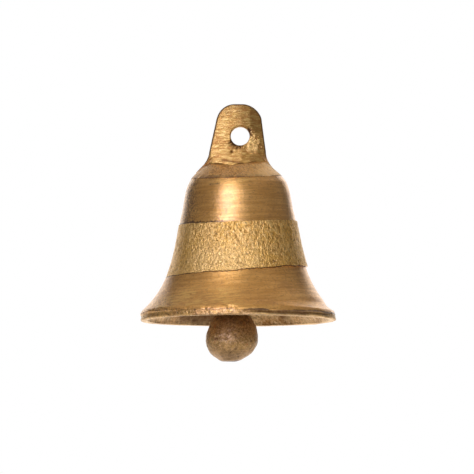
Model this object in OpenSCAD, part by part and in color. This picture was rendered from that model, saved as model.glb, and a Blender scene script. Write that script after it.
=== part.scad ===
// Small cast brass hanging bell with a drilled lug and a loose clapper.
// Frame: origin at the centre of the hanging hole, +Z up, parallel to the bell's axis,
// +Y through the hole. Millimetres.

/* [Bell casting] */
// Outside diameter of the mouth
mouth_d = 50; // [46:0.5:56]
// Height from the mouth up to the hanging hole's centre
hang_h = 46.9; // [45:0.1:50]
// Thickness of the skirt's wall
wall_t = 2.2; // [1.8:0.1:2.6]
// Radius of the shoulder, before the skirt widens
shoulder_r = 12.6; // [12:0.1:13]
// How far the unturned middle band stands proud
band_proud = 0.25; // [0.2:0.05:0.5]

/* [Hanging lug] */
// Thickness of the lug
lug_t = 4; // [3.4:0.1:5]
// Height of the lug above the hole's centre
lug_top = 8.1; // [7.6:0.1:9]
// Diameter of the hanging hole
hole_d = 4.8; // [4:0.1:5.4]
// How far the hole is drilled to the right of the bell's axis
hole_offset = 0.6; // [0:0.1:0.8]

/* [Clapper and its hanger] */
// Diameter of the staple's wire
staple_wire_d = 1.8; // [1.5:0.1:1.9]
// Diameter of the link ring's wire
ring_wire_d = 1.6; // [1.4:0.1:1.7]
// Diameter of the clapper's wire
clapper_wire_d = 2; // [1.8:0.1:2.1]
// How far along the staple's bar the ring hangs, from the bell's axis
ring_slide = -1.5; // [-1.5:0.1:1.5]
// Widest radius of the bob
bob_r = 6.65; // [6:0.05:7]
// How far the bob's end hangs below the mouth
bob_drop = 10.3; // [9.8:0.1:12]

/* [Hidden] */

brass_turned = [0.72, 0.53, 0.26];
brass_cast = [0.52, 0.38, 0.20];
iron = [0.27, 0.23, 0.20];

// Skirt: from the turned edge below the crown down to the lip
cut_z = -10.4;
lip_h = 2.3;
lip_z = lip_h - hang_h;
skirt_h = cut_z - lip_z;
lip_bulge = 0.45;
waist_taper = 6;
flare_power = 5.5;
lip_flare = mouth_d / 2 - lip_bulge - shoulder_r - waist_taper;
shoulder_drop = 0.85;
shoulder_h = 4.8;
skirt_steps = 48;

// Band left as cast, between two turned cuts that run a little out of square
band_top_z = -22.2;
band_low_z = -34.5;
band_top_tilt = 2.1;
band_low_tilt = 4;
band_from = 0.3;
band_to = 0.76;
band_slab = 60;

// Crown and the hollow under it
crown_z = -6.4;
crown_flat_r = 6.8;
crown_round = 1.6;
crown_slope = 46;
ceiling_z = -10;
ceiling_round = 3.5;
lip_round = 0.45;

// Lug outline
lug_corner_r = 5.2;
lug_corner_x = 0.65;
lug_foot = [7.2, -4];
lug_foot_pull = [0.2, -3];
lug_spread = [10.6, -9.2];
lug_root_z = -9.2;
lug_lean = 0.045;
lug_lean_z = -2.7;

// Staple: a U of wire whose legs are cast into the crown
staple_half = 3.8;
staple_bend = 1.4;
staple_bar_z = -15.4;
staple_top_z = -7.4;

// Running gap where one wire hangs on another
hang_gap = 0.06;

// Link ring and the clapper wire's eye
ring_r = 3.1;
ring_top_z = staple_bar_z + (staple_wire_d + ring_wire_d) / 2 + hang_gap;
ring_z = ring_top_z - ring_r;
ring_low_z = ring_z - ring_r;
ring_split = 8;
eye_r = 2.4;
eye_top_z = ring_low_z + (ring_wire_d + clapper_wire_d) / 2 + hang_gap;
eye_z = eye_top_z - eye_r;
eye_arc = 318;

// Bob: an egg, blunt below, with a short collar round the wire
bob_end_z = -hang_h - bob_drop;
bob_low_h = 5.35;
bob_high_h = 9.1;
bob_neck_angle = 58;
bob_wide_z = bob_end_z + bob_low_h;
bob_foot_r = 1.6;
collar_r = 1.9;
collar_h = 2.6;
peen_r = 1.2;
peen_h = 0.8;

fine = 96;
fine_wire = 32;

// Radius of the turned skirt at share s of its height, 0 at the crown and 1 at the lip
function skirt_r(s) =
    shoulder_r + waist_taper * s + lip_flare * pow(s, flare_power)
    - shoulder_drop * pow(max(0, 1 - s * skirt_h / shoulder_h), 2);
function skirt_z(s) = cut_z - skirt_h * s;
function skirt_slope(s) = waist_taper + flare_power * lip_flare * pow(s, flare_power - 1);
function skirt_point(s, out = 0) = [skirt_r(s) + out, skirt_z(s)];

// The same wall, set in by the wall's thickness square to the surface
function hollow_point(s) =
    let (len = norm([skirt_h, skirt_slope(s)]))
    [skirt_r(s) - wall_t * skirt_h / len, skirt_z(s) - wall_t * skirt_slope(s) / len];

function arc(centre, r, from, to, steps = 12) =
    [for (i = [0:steps]) let (a = from + (to - from) * i / steps)
        centre + r * [cos(a), sin(a)]];

function shares(from, to, steps = skirt_steps) = [for (i = [0:steps]) from + (to - from) * i / steps];

// A quadratic curve from a to c, pulled towards b
function bend(a, b, c, steps = 12) =
    [for (i = [0:steps]) let (t = i / steps)
        (1 - t) * (1 - t) * a + 2 * t * (1 - t) * b + t * t * c];

hollow_top_s = (13.5 + cut_z) / skirt_h;
hollow_top = hollow_point(hollow_top_s);

outer_profile = concat(
    [[0, crown_z]],
    arc([crown_flat_r, crown_z - crown_round], crown_round, 90, 90 - crown_slope),
    [for (s = shares(0, 1)) skirt_point(s)],
    arc([mouth_d / 2 - lip_round, lip_z - lip_round], lip_round, 45, 0, 4),
    arc([mouth_d / 2 - lip_round, -hang_h + lip_round], lip_round, 0, -90, 6)
);

inner_profile = concat(
    [[hollow_point(1)[0], -hang_h]],
    [for (s = shares(1, hollow_top_s)) hollow_point(s)],
    arc([hollow_top[0] - ceiling_round, ceiling_z - ceiling_round], ceiling_round, 0, 90),
    [[0, ceiling_z]]
);

// Turned and unturned walls, the crown and the lip in one revolved outline
module shell() {
    rotate_extrude($fn = fine) polygon(concat(outer_profile, inner_profile));
}

// The unturned wall, cut off above and below by the two tilted cuts
module cast_band() {
    difference() {
        rotate_extrude($fn = fine)
            polygon(concat(
                [for (s = shares(band_from, band_to, 20)) skirt_point(s, band_proud)],
                [for (s = shares(band_to, band_from, 20)) skirt_point(s, -wall_t / 2)]
            ));
        translate([0, 0, band_top_z]) rotate([0, -band_top_tilt, 0])
            translate([0, 0, band_slab / 2]) cube(band_slab, center = true);
        translate([0, 0, band_low_z]) rotate([0, -band_low_tilt, 0])
            translate([0, 0, -band_slab / 2]) cube(band_slab, center = true);
    }
}

lug_right = concat(
    arc([lug_corner_x, lug_top - lug_corner_r], lug_corner_r, 90, 3),
    bend(lug_foot, lug_foot + lug_foot_pull, lug_spread)
);

// The lug leans a little to the right as it rises
function leaned(side) = [for (p = lug_right) [side * p[0] + lug_lean * (p[1] - lug_lean_z), p[1]]];
function reversed(list) = [for (i = [len(list) - 1:-1:0]) list[i]];

// A flat plate whose foot spreads into the crown
module lug() {
    rotate([90, 0, 0])
        linear_extrude(lug_t, center = true)
            polygon(concat(leaned(1), [[0, lug_root_z]], reversed(leaned(-1))));
}

module hanging_hole() {
    rotate([90, 0, 0]) cylinder(d = hole_d, h = lug_t * 3, center = true, $fn = 64);
}

// From the bell's own axis to the frame's
module on_axis() {
    translate([-hole_offset, 0, 0]) children();
}

// The casting, poured round the staple's legs
module bell_casting() {
    color(brass_turned)
        difference() {
            on_axis() {
                shell();
                cast_band();
                lug();
            }
            hanging_hole();
            on_axis() staple_wire();
        }
}

// A quarter or longer arc of round wire, in the XY plane
module wire_arc(r, wire_d, angle) {
    rotate_extrude(angle = angle, $fn = fine)
        translate([r, 0]) circle(d = wire_d, $fn = fine_wire);
}

module staple_side() {
    leg_h = staple_top_z - staple_bar_z - staple_bend;
    translate([staple_half, 0, staple_bar_z + staple_bend])
        cylinder(d = staple_wire_d, h = leg_h, $fn = fine_wire);
    translate([staple_half - staple_bend, 0, staple_bar_z + staple_bend])
        rotate([90, 0, 0]) rotate(-90) wire_arc(staple_bend, staple_wire_d, 90);
}

module staple_wire() {
    bar = 2 * (staple_half - staple_bend);
    union() {
        staple_side();
        mirror([1, 0, 0]) staple_side();
        translate([-bar / 2, 0, staple_bar_z])
            rotate([0, 90, 0]) cylinder(d = staple_wire_d, h = bar, $fn = fine_wire);
    }
}

module crown_staple() {
    color(iron) on_axis() staple_wire();
}

// A ring of wire, closed by hand, that leaves a narrow split at one side
module link_ring() {
    color(iron)
        on_axis() translate([ring_slide, 0, ring_z])
            rotate([90, 0, 90]) rotate(ring_split / 2)
                wire_arc(ring_r, ring_wire_d, 360 - ring_split);
}

// The clapper's wire: an eye, a straight shank and an end peened under the bob
module clapper_pin() {
    shank_top = eye_z - eye_r;
    union() {
        translate([0, 0, eye_z])
            rotate([90, 0, 0]) rotate(-90) wire_arc(eye_r, clapper_wire_d, eye_arc);
        translate([0, 0, bob_end_z])
            cylinder(d = clapper_wire_d, h = shank_top - bob_end_z, $fn = fine_wire);
        translate([0, 0, bob_end_z])
            cylinder(r1 = peen_r, r2 = clapper_wire_d / 2, h = peen_h, $fn = fine_wire);
        translate([0, 0, shank_top]) sphere(d = clapper_wire_d, $fn = fine_wire);
    }
}

module clapper_wire() {
    color(iron) on_axis() translate([ring_slide, 0, 0]) clapper_pin();
}

// The bob's outline above its widest point by angle, and below it by share of the depth
function egg(a) = [bob_r * cos(a), bob_wide_z + bob_high_h * sin(a)];
function blunt(u) = [max(bob_foot_r, bob_r * pow(1 - pow(u, 1.75), 0.55)), bob_wide_z - bob_low_h * u];

module clapper_bob() {
    neck = egg(bob_neck_angle);
    collar = [collar_r, neck[1] + collar_h];
    outline = concat(
        [[0, bob_end_z]],
        [for (i = [14:-1:1]) blunt(sin(90 * i / 14))],
        [for (i = [0:10]) egg(bob_neck_angle * i / 10)],
        bend(neck, [collar_r, neck[1] + 1], collar, 8),
        [[0, collar[1]]]
    );
    color(brass_cast)
        on_axis() translate([ring_slide, 0, 0])
            difference() {
                rotate_extrude($fn = fine) polygon(outline);
                clapper_pin();
            }
}

bell_casting();
crown_staple();
link_ring();
clapper_wire();
clapper_bob();
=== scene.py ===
import math
from collections import namedtuple

import bmesh
import bpy
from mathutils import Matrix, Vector, noise


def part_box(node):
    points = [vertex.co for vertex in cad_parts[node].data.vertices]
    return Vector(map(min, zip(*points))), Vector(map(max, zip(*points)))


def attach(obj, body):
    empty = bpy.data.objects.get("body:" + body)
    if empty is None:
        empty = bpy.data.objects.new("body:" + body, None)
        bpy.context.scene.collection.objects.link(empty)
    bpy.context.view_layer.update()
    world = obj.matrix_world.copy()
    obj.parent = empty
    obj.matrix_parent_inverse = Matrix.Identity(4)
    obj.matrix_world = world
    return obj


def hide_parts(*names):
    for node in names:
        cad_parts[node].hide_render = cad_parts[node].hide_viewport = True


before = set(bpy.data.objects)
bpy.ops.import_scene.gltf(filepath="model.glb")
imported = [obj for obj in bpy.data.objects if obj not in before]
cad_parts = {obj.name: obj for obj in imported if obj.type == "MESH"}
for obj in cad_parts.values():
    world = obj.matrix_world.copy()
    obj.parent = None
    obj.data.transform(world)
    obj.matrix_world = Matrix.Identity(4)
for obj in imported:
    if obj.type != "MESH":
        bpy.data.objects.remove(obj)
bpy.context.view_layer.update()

MM = 0.001
TURN = 2 * math.pi

# ---------------------------------------------------------------- sizes, in mm
bell_low, bell_high = (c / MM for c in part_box("bell_casting"))
bob_low, bob_high = (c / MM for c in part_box("clapper_bob"))

AXIS_X = (bell_low.x + bell_high.x) / 2
MOUTH_R = (bell_high.x - bell_low.x) / 2
MOUTH_Z = bell_low.z
LUG_TOP = bell_high.z
BOB_X = (bob_low.x + bob_high.x) / 2
BOB_R = (bob_high.x - bob_low.x) / 2
BOB_END_Z = bob_low.z
BOB_TOP_Z = bob_high.z

# The skirt: its wall, the turned edge under the crown, the lip, and the outline between them
WALL = 2.2
CUT_Z = -10.4
LIP_Z = MOUTH_Z + 2.3
LIP_BULGE = 0.45
SHOULDER_R = 12.6
WAIST_TAPER = 6.0
FLARE_POWER = 5.5
FLARE = MOUTH_R - LIP_BULGE - SHOULDER_R - WAIST_TAPER
SHOULDER_DROP = 0.85
SHOULDER_H = 4.8

# The crown: flat in the middle, rounded, and then a straight slope down to the turned edge
CROWN_Z = -6.4
CROWN_FLAT_R = 6.8
CROWN_ROUND = 1.6
CROWN_SLOPE = math.radians(46)
SLOPE_R = CROWN_FLAT_R + CROWN_ROUND * math.sin(CROWN_SLOPE)
SLOPE_Z = CROWN_Z - CROWN_ROUND * (1 - math.cos(CROWN_SLOPE))

# The hollow: where its wall turns over into the ceiling
HOLLOW_TOP_Z = -13.5
CEILING_Z = -10.0
CEILING_ROUND = 3.5

# A turned cut's edge, with its tilt across the bell and its sag at the front
Cut = namedtuple("Cut", "level radius tilt sag ragged")
CROWN_CUT = Cut(CUT_Z - 0.1, 11.6, math.radians(2.2), 0.77, 0.13)
BAND_TOP_CUT = Cut(-22.1, 14.9, math.radians(2.1), 0.45, 0.14)
BAND_LOW_CUT = Cut(-34.45, 17.4, math.radians(4.5), 0.45, 0.3)

LUG_T = 4.0
HOLE_R = 2.4

# Points round the casting, and the size of the sand's grains on it
SEGMENTS = 600
GRAIN = 0.52

# Places round the axis, from 0 at the right through the back to 270 degrees at the front
STAIN = math.radians(117)  # dark inside the back
SMEAR = math.radians(212)  # dark on the upper wall and smooth on the band
FRONT_LEFT = math.radians(222)  # low on the crown
SCRAPED_AND_LIT = math.radians(240)  # scratched bright over the lip, with a painted highlight
SHINE = math.radians(258)  # painted highlight on the shoulder and the band


# ---------------------------------------------------------------- small helpers
def clamp(v, low=0.0, high=1.0):
    return max(low, min(high, v))


def mix(a, b, t):
    return a + (b - a) * t


def smooth(a, b, v):
    t = clamp((v - a) / (b - a))
    return t * t * (3 - 2 * t)


def wave(x, y, z, scale, seed=0.0):
    """Soft noise from -1 to 1 whose lumps are about scale mm apart."""
    return noise.noise(Vector((x / scale + seed, y / scale - seed, z / scale + 2 * seed)))


def mesh_object(name, points, faces, material_of, materials, marks=()):
    """A mesh from points in mm; marks are (name, values) that its materials can read."""
    mesh = bpy.data.meshes.new(name)
    mesh.from_pydata([(x * MM, y * MM, z * MM) for x, y, z in points], [], faces)
    for material in materials:
        mesh.materials.append(material)
    mesh.polygons.foreach_set("material_index", material_of)
    for mark, values in marks:
        mesh.attributes.new(mark, "FLOAT", "POINT").data.foreach_set("value", values)
    mesh.update()
    piece = bpy.data.objects.new(name, mesh)
    bpy.context.scene.collection.objects.link(piece)
    return piece


def soften(piece, angle=50):
    """Smooth shading that keeps real corners crisp."""
    piece.data.shade_smooth()
    piece.data.set_sharp_from_angle(angle=math.radians(angle))


# ---------------------------------------------------------------- materials
class Look:
    """A material's node tree, with short calls for the nodes used here."""

    def __init__(self, name, metallic=1.0, **constants):
        self.material = bpy.data.materials.new(name)
        self.material.use_nodes = True
        self.tree = self.material.node_tree
        self.shader = self.tree.nodes["Principled BSDF"]
        self.shader.inputs["Metallic"].default_value = metallic
        for socket, value in constants.items():
            self.shader.inputs[socket.replace("_", " ")].default_value = value
        self.place = self.tree.nodes.new("ShaderNodeTexCoord").outputs["Object"]

    def node(self, kind, **settings):
        made = self.tree.nodes.new(kind)
        for key, value in settings.items():
            setattr(made, key, value)
        return made

    def link(self, source, target):
        self.tree.links.new(source, target)

    def stretched(self, scale, turn=(0, 0, 0)):
        """Coordinates in mm, turned and then scaled along each axis."""
        turned = self.node("ShaderNodeMapping", vector_type="POINT")
        turned.inputs["Rotation"].default_value = turn
        self.link(self.place, turned.inputs["Vector"])
        scaled = self.node("ShaderNodeMapping", vector_type="POINT")
        scaled.inputs["Scale"].default_value = [s / MM for s in scale]
        self.link(turned.outputs["Vector"], scaled.inputs["Vector"])
        return scaled.outputs["Vector"]

    def noise(self, scale, detail=3, roughness=0.5, distortion=0.0, turn=(0, 0, 0)):
        made = self.node("ShaderNodeTexNoise")
        self.link(self.stretched(scale, turn), made.inputs["Vector"])
        made.inputs["Scale"].default_value = 1.0
        made.inputs["Detail"].default_value = detail
        made.inputs["Roughness"].default_value = roughness
        made.inputs["Distortion"].default_value = distortion
        return made.outputs["Fac"]

    def axis(self, name):
        split = self.node("ShaderNodeSeparateXYZ")
        self.link(self.stretched((1, 1, 1)), split.inputs["Vector"])
        return split.outputs[name]

    def mark(self, name):
        """A value from 0 to 1 that the mesh carries at its points."""
        return self.node("ShaderNodeAttribute", attribute_name=name).outputs["Fac"]

    def spread(self, source, low, high, to_low=0.0, to_high=1.0, kind="SMOOTHSTEP"):
        made = self.node("ShaderNodeMapRange", interpolation_type=kind)
        self.link(source, made.inputs["Value"])
        for socket, value in zip(
            ("From Min", "From Max", "To Min", "To Max"), (low, high, to_low, to_high)
        ):
            made.inputs[socket].default_value = value
        return made.outputs["Result"]

    def math(self, operation, a, b):
        made = self.node("ShaderNodeMath", operation=operation)
        for socket, value in zip(made.inputs, (a, b)):
            if isinstance(value, (int, float)):
                socket.default_value = value
            else:
                self.link(value, socket)
        return made.outputs["Value"]

    def blend(self, share, a, b):
        """Colour a where share is 0 and b where it is 1."""
        made = self.node("ShaderNodeMix", data_type="RGBA")
        self.link(share, made.inputs["Factor"])
        for socket, value in ((made.inputs[6], a), (made.inputs[7], b)):
            if isinstance(value, tuple):
                socket.default_value = (*value, 1.0)
            else:
                self.link(value, socket)
        return made.outputs[2]

    def bump(self, height, depth_mm, strength=1.0, under=None):
        made = self.node("ShaderNodeBump")
        made.inputs["Strength"].default_value = strength
        made.inputs["Distance"].default_value = depth_mm * MM
        self.link(height, made.inputs["Height"])
        if under is not None:
            self.link(under, made.inputs["Normal"])
        return made.outputs["Normal"]

    def finish(self, colour, roughness, normal):
        self.link(colour, self.shader.inputs["Base Color"])
        self.link(roughness, self.shader.inputs["Roughness"])
        self.link(normal, self.shader.inputs["Normal"])
        self.link(normal, self.shader.inputs["Coat Normal"])
        return self.material


# Brass, from clean metal through oxide films to stain
BRIGHT = (0.95, 0.59, 0.19)
GOLD = (0.97, 0.56, 0.12)
HONEY = (0.89, 0.485, 0.13)
AMBER = (0.71, 0.352, 0.075)
BROWN = (0.50, 0.24, 0.065)
DARK = (0.52, 0.25, 0.05)
UMBER = (0.15, 0.07, 0.026)
ROSE = (0.84, 0.54, 0.25)
SAND = (0.68, 0.375, 0.13)
PALE = (0.95, 0.69, 0.40)
STRAW = (0.98, 0.63, 0.18)
LIGHT = (1.0, 0.67, 0.26)


def apply_marks(look, colour, lightened=BRIGHT, grime_and_shade=None, wear_and_sheen=None):
    """Darker where the mesh's dark mark lies (soiling and painted shade), and lighter where its
    bright mark lies (abrasion and painted sheen).
    """
    darkened = look.blend(grime_and_shade or look.mark("grime_and_shade"), colour, UMBER)
    return look.blend(wear_and_sheen or look.mark("wear_and_sheen"), darkened, lightened)


def turned_brass(name, tilt, rough, streak, tarnish, pitted_from, stain, coat):
    """Lathe-turned brass under a film of oxide: broken lines, tarnish and stray scratches.

    Beyond pitted_from mm to the left the skin is pitted, stained and freckled with bare metal.
    """
    look = Look(
        name,
        Anisotropic=streak,
        Anisotropic_Rotation=0.25,
        Coat_Weight=coat,
        Coat_Roughness=0.14,
        Coat_IOR=1.9,
    )
    along = (0, tilt, 0)
    fine = look.noise((0.16, 0.16, 5.0), detail=4, roughness=0.65, turn=along)
    broad = look.noise((0.09, 0.09, 1.6), detail=3, roughness=0.6, turn=along)
    scratch = look.noise((0.35, 0.35, 5.0), detail=2, distortion=0.5, turn=(0, tilt + 0.3, 0))
    scrape = look.noise((0.26, 0.26, 2.3), detail=4, roughness=0.6, distortion=0.8, turn=along)
    cloud = look.noise((0.14, 0.14, 0.2), detail=5, roughness=0.62, distortion=0.3)
    speckle = look.noise((1.6, 1.6, 2.6), detail=5, roughness=0.7, distortion=0.4)
    freckle = look.noise((2.0, 2.0, 2.0), detail=3, roughness=0.6)
    lines = look.math("ADD", look.math("MULTIPLY", fine, 0.45), look.math("MULTIPLY", broad, 0.55))
    pitted = look.spread(look.axis("X"), -pitted_from, -pitted_from - 4)

    gold = look.blend(look.spread(lines, 0.44, 0.56), AMBER, HONEY)
    spotted = look.blend(look.spread(speckle, 0.48, 0.66, 0.0, 0.75), gold, BROWN)
    brown = look.blend(look.spread(cloud, 0.46, 0.72, 0.0, tarnish), spotted, BROWN)
    cut = look.spread(scratch, 0.66, 0.72, 0.0, 0.55)
    scratched = look.blend(cut, brown, BRIGHT)
    stained = look.math("MULTIPLY", pitted, look.spread(freckle, 0.53, 0.43, 0.0, 0.7))
    bare = look.math("MULTIPLY", pitted, look.spread(freckle, 0.56, 0.64, 0.0, 0.9))
    freckled = look.blend(bare, look.blend(stained, scratched, stain), BRIGHT)
    grime_and_shade = look.spread(look.math("SUBTRACT", look.mark("grime_and_shade"), freckle), -0.3, 0.15)
    wear_and_sheen = look.math("MULTIPLY", look.mark("wear_and_sheen"), look.spread(scrape, 0.48, 0.6))
    colour = apply_marks(look, freckled, STRAW, grime_and_shade, wear_and_sheen)

    dull = look.math("ADD", look.math("MULTIPLY", lines, -0.5), speckle)
    roughness = look.spread(dull, 0.1, 0.5, rough - 0.06, rough + 0.1)
    normal = look.bump(lines, 0.07, 0.9)
    normal = look.bump(speckle, 0.07, 0.8, normal)
    normal = look.bump(look.math("SUBTRACT", cut, wear_and_sheen), 0.03, 0.6, normal)
    normal = look.bump(look.math("MULTIPLY", pitted, freckle), 0.11, 1.0, normal)
    return look.finish(colour, roughness, normal)


def cast_brass(
    name, low, high, pit, grain, relief, rough, metallic=0.95, contrast=0.5, lightened=BRIGHT, coat=0.25
):
    """Sand-cast skin: small upright grains, darker hollows between them, scattered pits and painted
    glints on the grains' tops.
    """
    look = Look(name, metallic=metallic, Coat_Weight=coat, Coat_Roughness=0.22, Coat_IOR=1.7)
    strokes = look.noise(
        (1 / grain, 1 / grain, 0.62 / grain), detail=2, distortion=0.8, turn=(0, 0.3, 0)
    )
    small = look.noise((4.5, 4.5, 4.5), detail=3, roughness=0.6)
    cloud = look.noise((0.22, 0.22, 0.22), detail=4, roughness=0.6)
    pits = look.spread(look.noise((1.4, 1.4, 1.4), detail=1), 0.69, 0.73)
    height = look.math("ADD", strokes, look.math("MULTIPLY", small, 0.3))
    base = look.blend(look.spread(cloud, 0.35, 0.7), high, low)
    hollow = look.spread(height, 0.52, 0.66, contrast, 0.0)
    shaded = look.blend(hollow, base, pit)
    # Painted glints: the tops of the grains take the lightened colour as a painted highlight.
    glint = look.blend(look.spread(height, 0.67, 0.8, 0.0, contrast), shaded, lightened)
    spotted = look.blend(look.math("MULTIPLY", pits, 0.8), glint, pit)
    colour = apply_marks(look, spotted, lightened)
    roughness = look.spread(small, 0.3, 0.7, rough - 0.08, rough + 0.1)
    deep = look.math("SUBTRACT", height, look.math("MULTIPLY", pits, 0.8))
    return look.finish(colour, roughness, look.bump(deep, relief, 1.0))


def filed_brass(name):
    """The lug's faces: filed across in short strokes, mottled gold and brown."""
    look = Look(
        name, Anisotropic=0.4, Anisotropic_Rotation=0.25, Coat_Weight=0.1, Coat_Roughness=0.25
    )
    long = look.noise((0.34, 1.0, 2.4), detail=5, roughness=0.7, distortion=0.5, turn=(0, 0.05, 0))
    short = look.noise((0.9, 1.0, 6.0), detail=4, roughness=0.6, distortion=0.4, turn=(0, -0.06, 0))
    strokes = look.math("ADD", look.math("MULTIPLY", long, 0.62), look.math("MULTIPLY", short, 0.38))
    mottle = look.noise((0.6, 0.6, 1.1), detail=6, roughness=0.72, distortion=0.5)
    gold = look.blend(look.spread(strokes, 0.48, 0.58), (0.60, 0.365, 0.10), (0.84, 0.57, 0.195))
    cuts = look.blend(look.spread(strokes, 0.49, 0.43, 0.0, 0.9), gold, BROWN)
    brown = look.blend(look.spread(mottle, 0.47, 0.62, 0.0, 0.85), cuts, BROWN)
    colour = apply_marks(look, brown, LIGHT)
    rough = look.spread(strokes, 0.35, 0.65, 0.52, 0.38)
    normal = look.bump(strokes, 0.13, 1.0)
    return look.finish(colour, rough, look.bump(mottle, 0.16, 0.7, normal))


def clapper_brass(name):
    """The bob's dull, handled casting skin with rusty freckles."""
    look = Look(name, metallic=0.8, Coat_Weight=0.15, Coat_Roughness=0.3)
    mottle = look.noise((1.1, 1.1, 1.1), detail=6, roughness=0.75)
    grain = look.noise((2.6, 2.6, 2.6), detail=4, roughness=0.7)
    freckle = look.spread(look.noise((0.7, 0.7, 0.7), detail=2), 0.62, 0.7)
    base = look.blend(look.spread(mottle, 0.36, 0.64), (0.54, 0.32, 0.11), (0.22, 0.122, 0.04))
    # Painted light from below: lighter and pinker towards the bottom of the bob.
    lightened = look.blend(look.spread(look.axis("Z"), -53.5, -57.0, 0.0, 0.7), base, (0.62, 0.38, 0.19))
    dusty = look.blend(look.spread(grain, 0.5, 0.62, 0.0, 0.72), lightened, (0.78, 0.50, 0.25))
    rusty = look.blend(look.math("MULTIPLY", freckle, 0.75), dusty, (0.44, 0.19, 0.06))
    colour = apply_marks(look, rusty, PALE)
    height = look.math("ADD", look.math("MULTIPLY", mottle, 0.6), look.math("MULTIPLY", grain, 0.4))
    rough = look.spread(grain, 0.3, 0.7, 0.34, 0.54)
    return look.finish(colour, rough, look.bump(height, 0.26, 0.9))


def iron_wire(name):
    """Drawn iron wire gone dull, with brown rust in patches."""
    look = Look(name)
    rust = look.noise((0.6, 0.6, 0.6), detail=6, roughness=0.7)
    grain = look.noise((5.0, 5.0, 5.0), detail=3)
    colour = look.blend(look.spread(rust, 0.42, 0.62), (0.16, 0.14, 0.125), (0.14, 0.062, 0.03))
    rough = look.spread(rust, 0.35, 0.65, 0.38, 0.75)
    height = look.math("ADD", rust, look.math("MULTIPLY", grain, 0.4))
    return look.finish(colour, rough, look.bump(height, 0.08, 0.7))


# ---------------------------------------------------------------- the bell's casting
def skirt_share(z):
    return (CUT_Z - z) / (CUT_Z - LIP_Z)


def skirt_radius(z):
    """Radius of the turned skirt at height z, before the lip's bulge."""
    s = clamp(skirt_share(z), -0.05, 1.0)
    drop = SHOULDER_DROP * max(0.0, 1 - (CUT_Z - z) / SHOULDER_H) ** 2
    return SHOULDER_R + WAIST_TAPER * s + FLARE * max(s, 0) ** FLARE_POWER - drop


def skirt_slope(z):
    return (skirt_radius(z - 0.05) - skirt_radius(z + 0.05)) / 0.1


def cut_edge(cut, turn, seed):
    """Height of a turned cut's edge at angle turn: a tilted plane, sagging and a little ragged."""
    level, radius, tilt, sag, ragged = cut
    x, y = math.cos(turn), math.sin(turn)
    rag = wave(x, y, seed, 0.45) + 0.6 * wave(x * radius, y * radius, seed, 1.1)
    return level + radius * x * math.tan(tilt) - sag * max(0.0, -y) ** 2 + ragged * rag


def crown_edge(turn):
    return cut_edge(CROWN_CUT, turn, 3.1)


def band_top(turn):
    return cut_edge(BAND_TOP_CUT, turn, 5.7)


def band_low(turn):
    return cut_edge(BAND_LOW_CUT, turn, 8.3)


def band_proud(turn, v):
    """How far the cast band stands out: most on the right, hardly at the lower left."""
    c = math.cos(turn)
    return mix(0.34 + 0.13 * c, 0.3 + 0.28 * c, v)


def crown_sink(x, y):
    """How far the crown lies low in front, and lowest of all at the front left."""
    r = max(math.hypot(x, y), 1e-6)
    front = 0.9 * smooth(0.1, 0.9, -y / r)
    left = 0.55 * smooth(0.3, 1.0, math.cos(math.atan2(y, x) - FRONT_LEFT))
    return (front + left) * smooth(1.0, 2.6, r)


def crown_point(turn, v):
    """The crown, cast and left rough, from its middle at v 0 to the turned cut at v 1."""
    edge_z = crown_edge(turn)
    edge_r = skirt_radius(edge_z) - shoulder_round(turn, 0) + 0.1
    flat, curve = 0.5, 0.7
    if v < flat:
        r, z = CROWN_FLAT_R * v / flat, CROWN_Z
    elif v < curve:
        a = CROWN_SLOPE * (v - flat) / (curve - flat)
        r = CROWN_FLAT_R + CROWN_ROUND * math.sin(a)
        z = CROWN_Z - CROWN_ROUND * (1 - math.cos(a))
    else:
        t = (v - curve) / (1 - curve)
        r, z = mix(SLOPE_R, edge_r, t), mix(SLOPE_Z, edge_z, t)
    x, y = r * math.cos(turn), r * math.sin(turn)
    z -= crown_sink(x, y) * smooth(1.0, 0.72, v)
    r -= 0.3 * math.cos(turn) * smooth(0.4, 0.75, v) * smooth(1.0, 0.85, v)
    rough = 0.08 * wave(x, y, z, 1.8, 20.0) + 0.05 * wave(x, y, z, 0.6, 22.0)
    z += rough * smooth(1.0, 0.93, v)
    # Painted shadow of the small step along the turned cut's edge, in speckles.
    grime_and_shade = 0.75 * smooth(0.95, 1.0, v) * smooth(-0.5, 0.3, wave(x, y, 0, 1.2, 24.0) + 0.2)
    # Painted light: lighter towards the right of the crown.
    wear_and_sheen = 0.45 * smooth(0.5, 7.0, x)
    return r, z, grime_and_shade, wear_and_sheen


def lathe_ripple(turn, z, tilt, r):
    """Shallow rings left by the turning tool."""
    level = z - r * math.cos(turn) * math.tan(tilt)
    return 0.02 * wave(0.3 * math.cos(turn), 0.3 * math.sin(turn), level, 0.7, 4.0)


def shoulder_round(turn, v):
    """How much the turned wall's top corner is rounded off, most on the right."""
    return (0.15 + 0.3 * max(0.0, math.cos(turn))) * smooth(0.16, 0.0, v)


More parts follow.
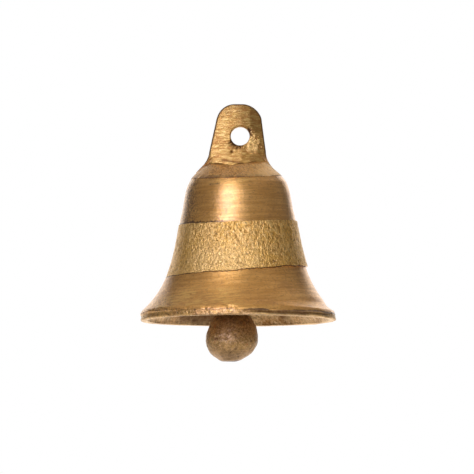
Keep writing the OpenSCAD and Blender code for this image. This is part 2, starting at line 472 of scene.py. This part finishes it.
def upper_point(turn, v):
    """The turned wall over the band; the tool ran out of depth just above the band."""
    c, s = math.cos(turn), math.sin(turn)
    top, low = crown_edge(turn) - 0.05, band_top(turn) + 0.02
    z = mix(top, low, v ** 1.1)
    r = skirt_radius(z) + lathe_ripple(turn, z, CROWN_CUT.tilt, skirt_radius(z))
    left = smooth(0.3, -0.7, c)
    run_out = low + 2.5 + 0.12 * wave(c, s, 0, 0.3, 17.0)
    r += 0.09 * smooth(run_out, run_out - 0.25, z) - shoulder_round(turn, v)
    # Darker along the band's top edge, most on the left, and a painted shadow under the crown's cut
    # edge.
    grime_and_shade = mix(0.25, 0.7, left) * smooth(0.975, 1.0, v) + 0.35 * smooth(0.03, 0.0, v)
    # Painted shade along the step where the tool ran out.
    grime_and_shade += 0.5 * (1 - left) * math.exp(-(((z - run_out) / 0.25) ** 2))
    smear = smooth(0.5, 0.9, math.cos(turn - SMEAR)) * smooth(0.02, 0.08, v) * smooth(0.3, 0.12, v)
    grime_and_shade += 0.48 * smear * smooth(-0.4, 0.2, wave(3 * c, 3 * s, z, 0.9, 18.0))
    # A painted highlight on the rounded shoulder, a little left of the front.
    brightening = smooth(0.8, 0.97, math.cos(turn - SHINE)) * smooth(0.0, 0.02, v) * smooth(0.16, 0.1, v)
    return r, z, clamp(grime_and_shade), brightening


def band_point(turn, v):
    """The cast band, pebbled by the sand it was moulded in and smoother at the front left."""
    z = mix(band_top(turn), band_low(turn), v)
    r = skirt_radius(z) + band_proud(turn, v)
    x, y = r * math.cos(turn), r * math.sin(turn)
    away = math.degrees(math.acos(clamp(math.cos(turn - SMEAR), -1, 1)))
    coarse = mix(0.3, 1.0, smooth(18, 42, away))
    grain = wave(x, y, 0.6 * z, GRAIN, 6.0) + 0.5 * wave(x, y, z, 0.8, 7.0)
    lump = 0.05 * wave(x, y, z, 2.4, 1.0)
    pit = smooth(0.46, 0.6, wave(x, y, z, 0.85, 11.0)) * smooth(-0.3, 0.3, wave(x, y, z, 5.0, 13.0))
    fade = smooth(0, 0.02, v) * smooth(1, 0.98, v)
    height = lump + 0.06 * grain * coarse - 0.14 * pit
    grime_and_shade = 0.75 * pit + 0.25 * smooth(0.0, -0.6, grain) * coarse
    # lit is a painted highlight low on the band, a little left of the front.
    lit = smooth(0.7, 0.98, math.cos(turn - SHINE)) * smooth(0.2, 0.8, v)
    wear_and_sheen = 0.45 * coarse * smooth(0.15, 0.6, grain) + 0.45 * lit + 0.3 * (1 - coarse)
    return r + height * mix(0.4, 1, fade), z, clamp(grime_and_shade), wear_and_sheen


def flare_point(turn, v):
    """The turned flare below the band, rougher near the lip where the tool chattered."""
    top, low = band_low(turn) - 0.03, LIP_Z + 0.25
    z = mix(top, low, v)
    r = skirt_radius(z)
    c = math.cos(turn)
    x, y = r * c, r * math.sin(turn)
    chatter = smooth(0.6, 0.95, v) * 0.06 * wave(x * 0.4, y * 0.4, z, 0.8, 9.0)
    neck = 0.5 * max(0.0, c) ** 2 * math.exp(-(((z - LIP_Z - 1.3) / 1.1) ** 2))
    # Lighter near the lip at the front left: scratches, with a painted highlight where the key
    # light's streak falls.
    scraped_and_lit = smooth(0.75, 0.95, math.cos(turn - SCRAPED_AND_LIT))
    patchy = smooth(-0.3, 0.25, wave(0.3 * x, 0.3 * y, z, 2.2, 15.0) + 0.4 * scraped_and_lit)
    near_lip = smooth(0.6 - 0.25 * scraped_and_lit, 0.85 - 0.2 * scraped_and_lit, v)
    wear_and_sheen = mix(0.22, 0.68, scraped_and_lit) * near_lip * patchy
    # Painted shadow just under the band's lower edge.
    under = 0.75 * smooth(0.04, 0.0, v)
    spotty = smooth(0.6, -0.3, wave(x, y, z, 2.4, 21.0))
    left = 0.26 * spotty * smooth(0.45, 0.75, v) * smooth(0.3, 0.75, -c)
    right = 0.28 * smooth(0.75, 1.0, v) * smooth(0.55, 0.75, c) * smooth(0.95, 0.88, c)
    r += lathe_ripple(turn, z, BAND_LOW_CUT.tilt, r) + chatter - neck
    return r, z, clamp(under + max(left, right)), clamp(wear_and_sheen)


# The lip's outline as radius short of the mouth's, height over the mouth, and how much lighter it
# is: abrasion, with a painted highlight along the bottom edge
LIP_PATH = (
    (0.62, 2.52, 0.1),
    (0.4, 2.04, 0.1),
    (0.2, 1.62, 0.2),
    (0.34, 1.36, 0.0),
    (0.46, 1.08, 0.0),
    (0.24, 0.78, 0.0),
    (0.06, 0.5, 0.35),
    (0.1, 0.26, 0.8),
    (0.3, 0.06, 1.0),
    (0.8, 0.0, 0.8),
    (1.75, 0.2, 0.0),
)


def lip_point(turn, v):
    """The lip: an edge over a darkened groove that fades out at the left, and a rough bead."""
    span = len(LIP_PATH) - 1
    k = min(int(v * span), span - 1)
    short, over, wear_and_sheen = (mix(a, b, v * span - k) for a, b in zip(LIP_PATH[k], LIP_PATH[k + 1]))
    start = smooth(0.12, 0.0, v)
    c, s = math.cos(turn), math.sin(turn)
    groove = smooth(-0.25, 0.2, c + 0.3 * wave(c, s, 0, 0.5, 2.5)) * smooth(0.97, 0.9, c)
    plain = min(short, 0.08 + 0.5 * (over / LIP_PATH[0][1]) ** 1.5) if over > 0.3 else short
    short = mix(plain, short, groove)
    short += 0.3 * smooth(0.5, 1.0, -c) * smooth(1.5, 1.1, over)
    waver = 0.2 * wave(c, s, 0, 0.4, 5.5) + 0.12 * wave(c, s, 0, 0.13, 6.5)
    droop = 0.2 * smooth(0.5, 1.0, -c) * smooth(1.6, 0.8, over)
    z = mix(MOUTH_Z + over - droop + waver * smooth(1.0, 0.7, v), LIP_Z + 0.25, start)
    r = mix(MOUTH_R - short, skirt_radius(LIP_Z + 0.25), start)
    x, y = r * c, r * s
    dent = mix(0.18, 0.1, groove) * (wave(x, y, z, 1.9, 2.0) + 0.8 * wave(x, y, z, 0.7, 3.0))
    dent = min(0.0, dent - 0.03) * smooth(0, 0.1, v) * smooth(1.0, 0.9, v)
    patchy = smooth(-0.4, 0.3, wave(x, y, z, 1.4, 4.0))
    rise = 0.5 * max(smooth(0.1, 0.8, c), smooth(0.0, 0.15, c) * smooth(0.4, 0.25, c))
    grime_and_shade = smooth(rise + 1.35, rise + 1.1, over) * smooth(rise, rise + 0.25, over)
    speck = 0.45 * (1 - groove) * smooth(0.0, 0.4, wave(x, y, z, 0.7, 4.5)) * smooth(0.3, 0.5, v)
    darkening = grime_and_shade * mix(0.2, 0.8, groove) * mix(0.8, 1, smooth(-0.3, 0.2, wave(c, s, 0, 0.2, 7.5)))
    darkening += 0.42 * (1 - groove) * smooth(0.97, 0.8, -c) * smooth(0.05, 0.2, v) * smooth(0.4, 0.25, v)
    # pale is a painted rim highlight on the lower lip at its far left and right.
    pale = 0.9 * smooth(0.9, 0.985, abs(c)) * smooth(0.3, 0.4, v) * patchy
    brightening = wear_and_sheen * mix(0.6, 1, patchy) * mix(0.25, 0.75, groove)
    return r + dent, z, clamp(darkening + speck), clamp(max(brightening, pale))


def hollow_wall(z):
    """Radius and height of the inner wall, set in square to the skirt's outside at height z."""
    slope = skirt_slope(z)
    length = math.hypot(1, slope)
    return skirt_radius(z) - WALL / length, z - WALL * slope / length


def inside_point(turn, v):
    """The hollow's wall, up from the mouth and over to the middle of the ceiling."""
    wall_share, dome_share = 0.7, 0.88
    wall_r, wall_z = hollow_wall(HOLLOW_TOP_Z)
    if v < wall_share:
        r, z = hollow_wall(mix(LIP_Z, HOLLOW_TOP_Z, (v / wall_share) ** 1.25))
    elif v < dome_share:
        a = (v - wall_share) / (dome_share - wall_share) * math.pi / 2
        r = wall_r - CEILING_ROUND * (1 - math.cos(a))
        z = mix(wall_z, CEILING_Z, math.sin(a))
    else:
        r = (wall_r - CEILING_ROUND) * (1 - (v - dome_share) / (1 - dome_share))
        z = CEILING_Z
    x, y = r * math.cos(turn), r * math.sin(turn)
    rough = 0.09 * wave(x, y, z, 2.4, 12.0) + 0.07 * wave(x, y, z, 0.8, 14.0)
    from_stain = abs(turn - STAIN + 0.06 * wave(x, y, z, 1.2, 19.0))
    stain = smooth(0.5, 0.2, v) * smooth(0.36, 0.2, from_stain)
    cloudy = 0.6 * smooth(0.1, 0.5, wave(x, y, z, 3.2, 16.0))
    grime_and_shade = cloudy + 0.3 * smooth(0.1, 0.6, v) + 0.7 * stain
    inward = smooth(0, 0.03, v)
    brightening = smooth(0.3, 0.0, v) * smooth(0.66, 0.9, abs(math.cos(turn)))
    wear_and_sheen = brightening * mix(0.2, 1.0, smooth(-0.15, 0.25, wave(x, y, z, 0.6, 17.0)))
    return max(0.0, r + rough * inward), z + 0.5 * rough * inward, clamp(grime_and_shade), wear_and_sheen


# What each material slot of the casting is for
SKINS = ("upper", "crown", "band", "flare", "inside", "lip", "filed")


def even(count):
    """Shares from 0 to 1 in count equal steps."""
    return [i / count for i in range(count + 1)]


def bell_body(materials):
    """Crown, turned wall, cast band, flare, lip and hollow as one closed surface."""
    zones = (
        (crown_point, even(11)[1:], "crown"),
        (upper_point, even(13), "upper"),
        (band_point, even(58), "band"),
        (flare_point, even(22), "flare"),
        (lip_point, even(20)[1:7], "flare"),
        (lip_point, even(20)[7:], "lip"),
        (inside_point, even(18)[:-1], "inside"),
    )
    points, rows = [(AXIS_X, 0.0, CROWN_Z)], []
    grime_and_shade, wear_and_sheen = [0.0], [0.0]
    for make, shares, skin in zones:
        for v in shares:
            first = len(points)
            for i in range(SEGMENTS):
                turn = TURN * i / SEGMENTS
                r, z, darkened, lightened = make(turn, v)
                points.append((AXIS_X + r * math.cos(turn), r * math.sin(turn), z))
                grime_and_shade.append(darkened)
                wear_and_sheen.append(lightened)
            rows.append((first, SKINS.index(skin)))
    last = len(points)
    points.append((AXIS_X, 0.0, CEILING_Z))
    grime_and_shade.append(0.3)
    wear_and_sheen.append(0.0)
    faces, slots = [], []
    for i in range(SEGMENTS):
        j = (i + 1) % SEGMENTS
        faces.append((0, rows[0][0] + i, rows[0][0] + j))
        slots.append(rows[0][1])
        for (a, _), (b, slot) in zip(rows, rows[1:]):
            faces.append((a + i, b + i, b + j, a + j))
            slots.append(slot)
        faces.append((rows[-1][0] + i, last, rows[-1][0] + j))
        slots.append(rows[-1][1])
    marks = (("grime_and_shade", grime_and_shade), ("wear_and_sheen", wear_and_sheen))
    return mesh_object("bell_body", points, faces, slots, materials, marks)


# ---------------------------------------------------------------- the lug
# How far the lug leans for each mm of height, its foot's end, its corners, and its flat face
LUG_LEAN = 0.045
LUG_ROOT_Z = -9.3
LUG_CORNER_R = 4.9
LUG_CORNER_X = 0.95
FACE_HALF = 6.6


def lug_middle(z):
    """The lug leans a little to the right as it rises."""
    return AXIS_X + LUG_LEAN * (z + 2.7) - 0.1 * max(0.0, z - 5)


def face_edge(z):
    """Half the width of the flat filed face where the lug's foot spreads beyond it."""
    return FACE_HALF + 0.03 * (2 - z) if z < -3 else math.inf


def lug_outline():
    """The lug's edge seen from the front, as (x, z) about the hole's centre."""
    corner_steps, foot_steps = 24, 20
    right = []
    for i in range(corner_steps + 1):
        a = math.radians(mix(90, 5, i / corner_steps))
        right.append(
            (LUG_CORNER_X + LUG_CORNER_R * math.cos(a), LUG_TOP - LUG_CORNER_R * (1 - math.sin(a)))
        )
    foot, pull, spread = (7.2, -4.0), (7.4, -7.0), (10.6, LUG_ROOT_Z)
    for i in range(foot_steps + 1):
        t = i / foot_steps
        right.append(
            tuple(
                (1 - t) ** 2 * a + 2 * t * (1 - t) * b + t * t * c
                for a, b, c in zip(foot, pull, spread)
            )
        )
    whole = right + [(-x, z) for x, z in reversed(right)]
    return [(lug_middle(z) + x, z) for x, z in whole]


def outline_reach(outline, turn):
    """Distance from the hole's centre to the outline along angle turn."""
    dx, dz = math.cos(turn), math.sin(turn)
    best = 0.0
    for (x0, z0), (x1, z1) in zip(outline, outline[1:] + outline[:1]):
        across = dx * (z1 - z0) - dz * (x1 - x0)
        if abs(across) < 1e-9:
            continue
        reach = (x0 * (z1 - z0) - z0 * (x1 - x0)) / across
        t = (x0 * dz - z0 * dx) / across
        if reach > 0 and -1e-6 <= t <= 1 + 1e-6:
            best = max(best, reach)
    return best


def rounded_off(depth, radius):
    """How far a rounded edge has dropped at depth inside it."""
    if depth >= radius:
        return 0.0
    return radius - math.sqrt(max(0.0, radius ** 2 - (radius - depth) ** 2))


def front_darkening(x, z, fold, above):
    """Darker on the lug's front: painted shade right of the middle and on the filed facet, which
    turn away from the key light, and brown film at the top.
    """
    right = 0.34 * smooth(-2.6, 0.4, x + 0.5 * wave(x, 0, z, 1.5, 38.0)) * smooth(-4.2, -2.6, z)
    top = 0.42 * smooth(3.6, 6.2, z) * smooth(-0.3, 0.3, wave(x, 0, z, 1.0, 39.0))
    facet = smooth(fold - 0.1, fold + 0.1, x) * mix(0.3, 0.5, above)
    return max(right, top, facet)


def cast_patch(x, z):
    """The patch right of the hole that the file missed, and how its skin rises and falls."""
    ragged = 0.6 * wave(x, 0, z, 1.1, 33.0) + 0.25 * wave(x, 0, z, 0.5, 34.0)
    patch = smooth(1.02, 0.94, math.hypot((x - 3.3) / 1.7, (z + 2.1) / 2.6) + ragged)
    rough = 0.8 * wave(x, 0, z, 0.9, 5.0) + 0.8 * wave(x, 0, z, 0.4, 5.0)
    return patch, rough


def torn_edge(x, z, from_hole):
    """Metal torn by the drill at the hole's lower left and upper right."""
    low_left = smooth(0.8, -0.1, math.hypot(x + 1.3, z + 2.6) - 1.5)
    high_right = smooth(0.7, -0.1, math.hypot(x - 2.6, z - 0.9) - 1.0)
    torn = math.exp(-((from_hole / 0.9) ** 2)) * max(low_left, high_right)
    return torn * mix(0.6, 1.9, smooth(-0.3, 0.2, wave(x, 0, z, 0.5, 36.0)))


def seam_groove(x, z):
    """How deep the mould's seam line lies across the lug's foot, from 0 to 1."""
    across = smooth(-5.2, -4.4, x) * smooth(1.6, 0.4, x)
    return math.exp(-(((z + 6.2 + 0.14 * (x + 4.6)) / 0.2) ** 2)) * across


def lug_half(x, z, to_edge, from_hole, side):
    """Half the lug's thickness at (x, z), with its dark and bright marks: filed, crowned, edges
    rounded.
    """
    thinnest, edge_round, rim_round = 0.25, 0.4, 0.22
    across = x - lug_middle(z)
    half = LUG_T / 2 - 0.014 * (across + 0.6) ** 2
    beyond = abs(across) - face_edge(z)
    if beyond > 0:
        half -= 0.8 * beyond
    half -= rounded_off(to_edge, edge_round)
    half -= rounded_off(from_hole, rim_round)
    half += 0.03 * wave(0.25 * x, side, z, 0.55, 30.0) + 0.05 * wave(x, side, z, 2.6, 31.0)
    grime_and_shade = 0.9 * smooth(0.7, 0.15, to_edge)
    if side > 0:
        return max(half, thinnest), grime_and_shade, 0.0
    above = smooth(0.4, 1.4, z)
    fold = 2.5 + 0.2 * wave(0, 0, z, 0.9, 37.0)
    tilt = 0.1 * max(0.0, x - 0.3)
    half -= 0.17 * max(0.0, x - fold) * above + tilt
    grime_and_shade = max(grime_and_shade, front_darkening(x, z, fold, above))
    patch, rough = cast_patch(x, z)
    half += patch * (0.08 * rough - 0.04 + 0.7 * tilt)
    wear_and_sheen = patch * mix(0.2, 1.0, smooth(-0.3, 0.25, rough))
    grime_and_shade = mix(grime_and_shade, 0.35 * smooth(-0.1, -0.5, rough), patch)
    blowhole = math.exp(-((x + 2.08) ** 2 + (z + 4.04) ** 2) / 0.1)
    half -= 0.4 * blowhole
    # The torn places are darkened too: a painted shadow in the torn hollows.
    torn = torn_edge(x, z, from_hole)
    half -= torn * (0.22 + 0.2 * wave(x, 0, z, 0.5, 35.0))
    seam = seam_groove(x, z)
    half -= 0.12 * seam
    return max(half, thinnest), clamp(max(grime_and_shade, blowhole, torn, 0.85 * seam)), wear_and_sheen


def lug_plate(materials):
    """The lug as rings that run out along its front, round its edge, and back to the hole."""
    outline = lug_outline()
    turns, rings = 200, 30
    points, rows, grime_and_shade, wear_and_sheen = [], [], [], []
    shares = [(i / rings) ** 0.9 for i in range(rings + 1)]
    reaches = [outline_reach(outline, TURN * i / turns) for i in range(turns)]
    for side in (-1, 1):
        order = shares if side < 0 else list(reversed(shares))
        for share in order:
            rows.append(len(points))
            for i, reach in enumerate(reaches):
                turn = TURN * i / turns
                span = reach - HOLE_R
                at = HOLE_R + span * share
                x, z = at * math.cos(turn), at * math.sin(turn)
                half, darkened, lightened = lug_half(x, z, span * (1 - share), span * share, side)
                points.append((x, side * half, z))
                grime_and_shade.append(darkened)
                wear_and_sheen.append(lightened)
    faces, slots = [], []
    for k, a in enumerate(rows):
        b = rows[(k + 1) % len(rows)]
        for i in range(turns):
            j = (i + 1) % turns
            faces.append((a + i, a + j, b + j, b + i))
            x, _, z = points[a + i]
            spread = abs(x - lug_middle(z)) > face_edge(z)
            slots.append(1 if spread or k in (rings - 1, rings, rings + 1) else 0)
    marks = (("grime_and_shade", grime_and_shade), ("wear_and_sheen", wear_and_sheen))
    return mesh_object("lug_plate", points, faces, slots, materials, marks)


def face_outwards(piece):
    made = bmesh.new()
    made.from_mesh(piece.data)
    bmesh.ops.recalc_face_normals(made, faces=made.faces)
    made.to_mesh(piece.data)
    made.free()


def united(first, second):
    """One closed surface from two that overlap, keeping each one's materials."""
    joint = first.modifiers.new("union", "BOOLEAN")
    joint.operation = "UNION"
    joint.solver = "MANIFOLD"
    joint.object = second
    bpy.context.view_layer.update()
    seen = first.evaluated_get(bpy.context.evaluated_depsgraph_get())
    mesh = bpy.data.meshes.new_from_object(seen)
    first.modifiers.clear()
    first.data = mesh
    bpy.data.objects.remove(second)
    return first


def crown_surface(x, y):
    """Height of the crown at a place, in mm, before it sinks in front."""
    r = math.hypot(x - AXIS_X, y)
    if r < CROWN_FLAT_R:
        return CROWN_Z
    if r < SLOPE_R:
        return CROWN_Z - CROWN_ROUND + math.sqrt(CROWN_ROUND ** 2 - (r - CROWN_FLAT_R) ** 2)
    return SLOPE_Z - (r - SLOPE_R) * math.tan(CROWN_SLOPE)


def fillet_root(piece):
    """Smooths the crease where the lug rises from the crown, and paints shade into it."""
    weld, passes = 0.003 * MM, 8
    low_z, high_z, crown_r, lug_reach = -12, -4, 10.2, 3.2
    made = bmesh.new()
    made.from_mesh(piece.data)
    bmesh.ops.remove_doubles(made, verts=made.verts, dist=weld)
    grime_and_shade = made.verts.layers.float["grime_and_shade"]
    near = []
    for v in made.verts:
        x, y, z = v.co / MM
        if z < low_z or z > high_z or abs(y) > lug_reach or math.hypot(x - AXIS_X, y) > crown_r:
            continue
        rise = z - crown_surface(x, y) + crown_sink(x - AXIS_X, y)
        if abs(rise) < 0.9 and abs(abs(y) - LUG_T / 2) < 0.8:
            near.append(v)
            # Painted shade along the crease at the lug's foot, in patches.
            if abs(rise + 0.1) < 0.35:
                v[grime_and_shade] = max(v[grime_and_shade], 0.7 * smooth(-0.5, 0.2, wave(x, y, 0, 1.6, 50.0)))
    for _ in range(passes):
        bmesh.ops.smooth_vert(
            made, verts=near, factor=0.5, use_axis_x=True, use_axis_y=True, use_axis_z=True
        )
    made.to_mesh(piece.data)
    made.free()


# ---------------------------------------------------------------- the clapper
# The bob's height below and above its widest level, its foot, and where it is knocked flat
BOB_LOW_H = 5.33
BOB_HIGH_H = 9.1
BOB_FOOT_R = 1.75
BOB_FLAT = math.radians(205)
BOB_STEP = math.radians(-20)


def bob_radius(z):
    """The bob's outline: a blunt foot with a small flat, and a shoulder drawn up to the wire."""
    wide_z = BOB_END_Z + BOB_LOW_H
    if z < wide_z:
        u = clamp((wide_z - z) / BOB_LOW_H)
        above = z - BOB_END_Z
        foot = BOB_FOOT_R + 0.45 * math.sqrt(clamp(above / 0.3)) + 1.4 * min(above, 0.9)
        return max(foot, BOB_R * math.sqrt(1 - u ** 1.8))
    u = (z - wide_z) / BOB_HIGH_H
    egg = BOB_R * math.sqrt(max(0.0, 1 - u * u))
    return max(egg, mix(2.6, 1.9, smooth(BOB_TOP_Z - 3, BOB_TOP_Z, z)))


def bob_growth(x, y, z, turn, r, pit):
    """How far lumps, pits and worn flats move the bob's skin out from its outline."""
    lump = 0.10 * wave(x, y, z, 3.4, 40.0) + 0.075 * wave(x, y, z, 1.2, 41.0)
    pebble = 0.05 * wave(x, y, z, 0.5, 42.0)
    flat = -0.3 * smooth(0.86, 1.0, math.cos(turn - BOB_FLAT)) * smooth(-51, -54.5, z)
    step = -0.3 * smooth(-48.6, -46.4, z) * smooth(0.6, 1.0, math.cos(turn - BOB_STEP))
    swell = -0.4 * smooth(-50.8, -48.6, z) * smooth(0.3, 1.0, -math.cos(turn))
    full = 0.3 * smooth(-53.6, -55.6, z) * max(0.0, math.cos(turn)) * smooth(2.0, 3.2, r)
    return lump + pebble + flat + step + swell + full - 0.12 * pit


def bob_marks(x, y, z, pit):
    """Soiling in the pits and on the foot, painted shade on the upper bob where the bell shades it,
    and a painted highlight in front.
    """
    foot = smooth(BOB_END_Z + 0.4, BOB_END_Z, z) * smooth(-0.1, 0.3, wave(x, y, 0, 1.2, 46.0))
    # The upper bob is darker: painted shade from the bell over it.
    grime_and_shade = 0.8 * pit + foot + 0.5 * smooth(BOB_TOP_Z - 9, BOB_TOP_Z - 3, z)
    # A painted highlight on the bob's front left.
    brightening = smooth(1.0, 0.1, math.hypot((x + 1.2) / 2.8, (z + 51.4) / 2.6)) if y < 0 else 0.0
    return clamp(grime_and_shade), 0.7 * brightening * smooth(0.0, 0.35, wave(x, y, z, 0.42, 44.0))


def bob_mesh(material):
    """The clapper's bob, knocked into uneven flats and rough from the mould."""
    turns, rings = 168, 96
    points, rows, grime_and_shade, wear_and_sheen = [], [], [], []
    for k in range(rings + 1):
        v = k / rings
        z = mix(BOB_END_Z, BOB_TOP_Z, 0.5 - 0.5 * math.cos(math.pi * v ** 0.9))
        r = bob_radius(z)
        if k == 0:
            r = BOB_FOOT_R
        elif k == rings:
            r = mix(1.4, r, 0.55)
        rows.append(len(points))
        middle = BOB_X - 0.62 * smooth(-52.3, -57.0, z)
        for i in range(turns):
            turn = TURN * i / turns
            x, y = r * math.cos(turn), r * math.sin(turn)
            pit = smooth(0.5, 0.62, wave(x, y, z, 0.9, 43.0))
            reach = r + bob_growth(x, y, z, turn, r, pit) * smooth(1.7, 2.6, r)
            points.append((middle + reach * math.cos(turn), reach * math.sin(turn), z))
            darkened, lightened = bob_marks(x, y, z, pit)
            grime_and_shade.append(darkened)
            wear_and_sheen.append(lightened)
    faces = []
    for a, b in zip(rows, rows[1:]):
        for i in range(turns):
            j = (i + 1) % turns
            faces.append((a + i, a + j, b + j, b + i))
    faces.append(tuple(reversed(range(rows[0], rows[0] + turns))))
    faces.append(tuple(range(rows[-1], rows[-1] + turns)))
    marks = (("grime_and_shade", grime_and_shade), ("wear_and_sheen", wear_and_sheen))
    return mesh_object("clapper_bob_cast", points, faces, [0] * len(faces), [material], marks)


# ---------------------------------------------------------------- stage, in metres
# The point that the lights surround, and the floor
HEART = Vector((0, 0, -0.025))
FLOOR_Z = -4.5
FLOOR_HALF = 20.0
PAPER = (0.9, 0.89, 0.87, 1)

WARM = (1.0, 0.9, 0.8)
CREAM = (1.0, 0.95, 0.9)
PINK = (1.0, 0.9, 2.4)
AMBER_GLOW = (1.0, 0.86, 0.66)


def aimed(obj, target):
    obj.rotation_euler = (Vector(target) - obj.location).to_track_quat("-Z", "Y").to_euler()


def panel(name, azimuths, elevations, glow, tint=(1, 1, 1), distance=1.0):
    """A soft light that fills a patch of the view from the bell, by its limits in degrees.

    Azimuth 0 is the camera's side, positive to the right; glow is the brightness it shows.
    """
    a = math.radians(sum(azimuths) / 2)
    e = math.radians(sum(elevations) / 2)
    data = bpy.data.lights.new(name, "AREA")
    data.shape = "RECTANGLE"
    data.size = 2 * distance * math.tan(math.radians(azimuths[1] - azimuths[0]) / 2)
    data.size_y = 2 * distance * math.tan(math.radians(elevations[1] - elevations[0]) / 2)
    data.energy = math.pi * data.size * data.size_y * glow
    data.color = tint
    lamp = bpy.data.objects.new(name, data)
    way = Vector((math.cos(e) * math.sin(a), -math.cos(e) * math.cos(a), math.sin(e)))
    lamp.location = HEART + distance * way
    bpy.context.scene.collection.objects.link(lamp)
    aimed(lamp, HEART)
    lamp.visible_camera = False


def pale_world(seen, lit):
    """A white backdrop to the eye that gives the object a softer, dimmer light."""
    world = bpy.data.worlds.new("studio")
    bpy.context.scene.world = world
    world.use_nodes = True
    nodes, links = world.node_tree.nodes, world.node_tree.links
    shade = nodes["Background"]
    shade.inputs["Color"].default_value = (1, 1, 1, 1)
    path = nodes.new("ShaderNodeLightPath")
    strength = nodes.new("ShaderNodeMapRange")
    strength.inputs["To Min"].default_value = lit
    strength.inputs["To Max"].default_value = seen
    links.new(path.outputs["Is Camera Ray"], strength.inputs["Value"])
    links.new(strength.outputs["Result"], shade.inputs["Strength"])


def pale_floor():
    """A wide sheet of pale paper, far enough below to leave the bell hanging free."""
    made = bmesh.new()
    bmesh.ops.create_grid(made, x_segments=2, y_segments=2, size=FLOOR_HALF)
    mesh = bpy.data.meshes.new("floor")
    made.to_mesh(mesh)
    made.free()
    floor = bpy.data.objects.new("floor", mesh)
    floor.location = (0, 0, FLOOR_Z)
    floor.visible_glossy = floor.visible_diffuse = False
    bpy.context.scene.collection.objects.link(floor)
    look = Look("floor_paper", metallic=0.0, Specular_IOR_Level=0.1)
    for socket in ("Base Color", "Emission Color"):
        look.shader.inputs[socket].default_value = PAPER
    look.shader.inputs["Emission Strength"].default_value = 0.75
    look.shader.inputs["Roughness"].default_value = 0.9
    mesh.materials.append(look.material)


def key_lights():
    """One tall soft light at the front left, brighter above, with its edges fading out."""
    panel("key_core", (-36, -8), (-20, 38), 1.0)
    panel("key_heart", (-32, -12), (-12, 32), 1.2, PINK)
    panel("key_high", (-38, -2), (15, 38), 2.3)
    panel("key_top", (-38, -8), (38, 62), 0.5)
    panel("key_left", (-50, -36), (-20, 38), 0.2)
    panel("key_right", (-8, 8), (-20, 38), 1.0)
    panel("key_edge", (8, 24), (-20, 36), 0.4)


def side_walls():
    """Dim warm walls that the bell's sides mirror."""
    panel("left_card", (-78, -50), (-20, 40), 0.18, WARM)
    panel("left_wall", (-130, -78), (-20, 45), 0.14, AMBER_GLOW)
    panel("right_card", (24, 66), (-20, 45), 0.2, WARM)
    panel("right_wall", (66, 122), (-20, 45), 0.14, WARM)


def backdrop():
    """The pale backdrop, mirrored along the bell's outline."""
    panel("backdrop_right", (148, 180), (-20, 30), 1.3, CREAM)
    panel("rim_right", (148, 180), (30, 52), 0.9, CREAM)
    panel("backdrop_left", (-180, -148.5), (-20, 30), 1.35, CREAM)


def floor_and_ceiling():
    """Light from below on the lip, the hollow and the bob, and a little from above."""
    panel("floor_right", (100, 180), (-50, -20), 0.9, CREAM)
    panel("floor_left", (-180, -100), (-50, -20), 0.9, CREAM)
    panel("floor_front_left", (-90, -20), (-60, -24), 0.85, CREAM)
    panel("floor_front_right", (40, 100), (-60, -24), 0.6, CREAM)
    panel("floor_middle", (-25, 40), (-85, -24), 0.46, CREAM)
    panel("ceiling", (-35, 60), (50, 130), 0.38, WARM)


def place_camera():
    """A long lens a little below the mouth, looking up by about four degrees."""
    distance, half_frame = 4.0, 0.06015
    rise = math.radians(-3.8)
    target = Vector((-0.0008, 0, -0.0256))
    data = bpy.data.cameras.new("camera")
    data.sensor_width = 36
    data.lens = 36 / 2 * distance / half_frame
    data.clip_start = 0.01
    camera = bpy.data.objects.new("camera", data)
    camera.location = target + distance * Vector((0, -math.cos(rise), math.sin(rise)))
    bpy.context.scene.collection.objects.link(camera)
    aimed(camera, target)
    bpy.context.scene.camera = camera


# ---------------------------------------------------------------- assembly
def bell_materials():
    """The casting's materials, in the order of SKINS."""
    upper = turned_brass(
        "brass_turned_upper", CROWN_CUT.tilt, rough=0.36, streak=0.7, tarnish=0.58,
        pitted_from=9.0, stain=UMBER, coat=0.6,
    )
    crown = cast_brass(
        "brass_cast_crown", SAND, ROSE, BROWN, grain=0.5, relief=0.34, rough=0.42, contrast=0.85
    )
    band = cast_brass(
        "brass_cast_band", GOLD, BRIGHT, DARK, grain=GRAIN, relief=0.36, rough=0.33,
        metallic=1.0, contrast=0.76, lightened=LIGHT, coat=0.18,
    )
    flare = turned_brass(
        "brass_turned_flare", BAND_LOW_CUT.tilt, rough=0.38, streak=0.45, tarnish=0.52,
        pitted_from=15.0, stain=BROWN, coat=0.45,
    )
    inside = cast_brass(
        "brass_cast_inside", BROWN, ROSE, UMBER, grain=0.6, relief=0.12, rough=0.5,
        lightened=PALE, coat=0.1,
    )
    lip = cast_brass(
        "brass_rough_lip", SAND, BRIGHT, UMBER, grain=0.5, relief=0.08, rough=0.45,
        metallic=1.0, lightened=PALE, coat=0.1,
    )
    return [upper, crown, band, flare, inside, lip, filed_brass("brass_filed_lug")]


def build_bell():
    materials = bell_materials()
    body = bell_body(materials)
    plate = lug_plate([materials[SKINS.index("filed")], materials[SKINS.index("crown")]])
    for piece in (body, plate):
        face_outwards(piece)
    bell = united(body, plate)
    bell.name = bell.data.name = "bell_cast_brass"
    fillet_root(bell)
    soften(bell, 55)
    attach(bell, "bell")
    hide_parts("bell_casting")


def build_bob():
    bob = bob_mesh(clapper_brass("brass_dull_clapper"))
    face_outwards(bob)
    soften(bob, 60)
    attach(bob, "clapper")
    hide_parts("clapper_bob")


def dress_wires():
    iron = iron_wire("iron_wire_dull")
    for name in ("crown_staple", "link_ring", "clapper_wire"):
        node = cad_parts[name]
        node.data.materials.clear()
        node.data.materials.append(iron)


pale_world(1.0, 0.1)
pale_floor()
place_camera()
key_lights()
side_walls()
backdrop()
floor_and_ceiling()
bpy.context.scene.view_settings.view_transform = "Standard"

build_bell()
build_bob()
dress_wires()
